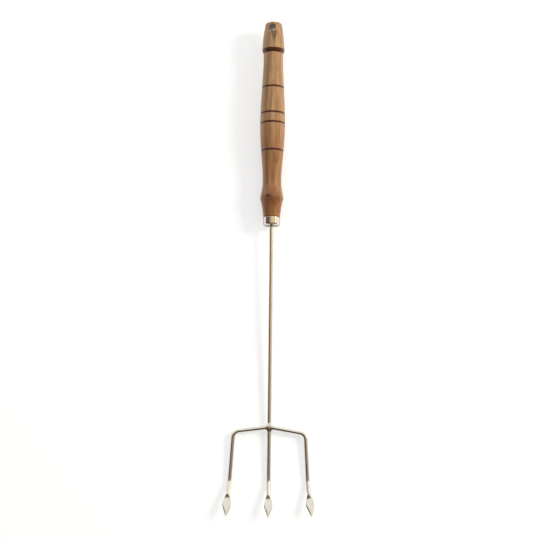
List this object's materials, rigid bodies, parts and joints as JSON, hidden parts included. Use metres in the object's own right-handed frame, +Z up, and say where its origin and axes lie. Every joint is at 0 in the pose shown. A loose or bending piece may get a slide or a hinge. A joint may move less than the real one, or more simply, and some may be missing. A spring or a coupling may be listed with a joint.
{
  "type": "toasting fork",
  "caption": "Long-handled toasting fork: turned wooden handle with burnt rings and a hanging hole, plated ferrule, and a steel rod with brazed side prongs ending in spear points.",
  "frame": {"origin": "centre of the fork's footprint on the surface that it lies on", "axes": "+Y along the fork from the prongs to the handle, +X to the right with the tips pointing down the page, +Z up"},
  "size_m": [0.0904, 0.5086, 0.0289],
  "materials": {
    "varnished_wood": "satin varnish over fine straight grain, with burnt rings",
    "plated_ferrule": "bright plate, a little dulled",
    "plated_steel": "bright plate on drawn rod",
    "plated_braze": "braze metal under the same bright plate"
  },
  "bodies": {
    "root": {"handle": "varnished_wood", "ferrule": "plated_ferrule", "shaft": "plated_steel", "left_prong": "plated_steel", "right_prong": "plated_steel", "braze_joint": "plated_braze"}
  },
  "joints": []
}
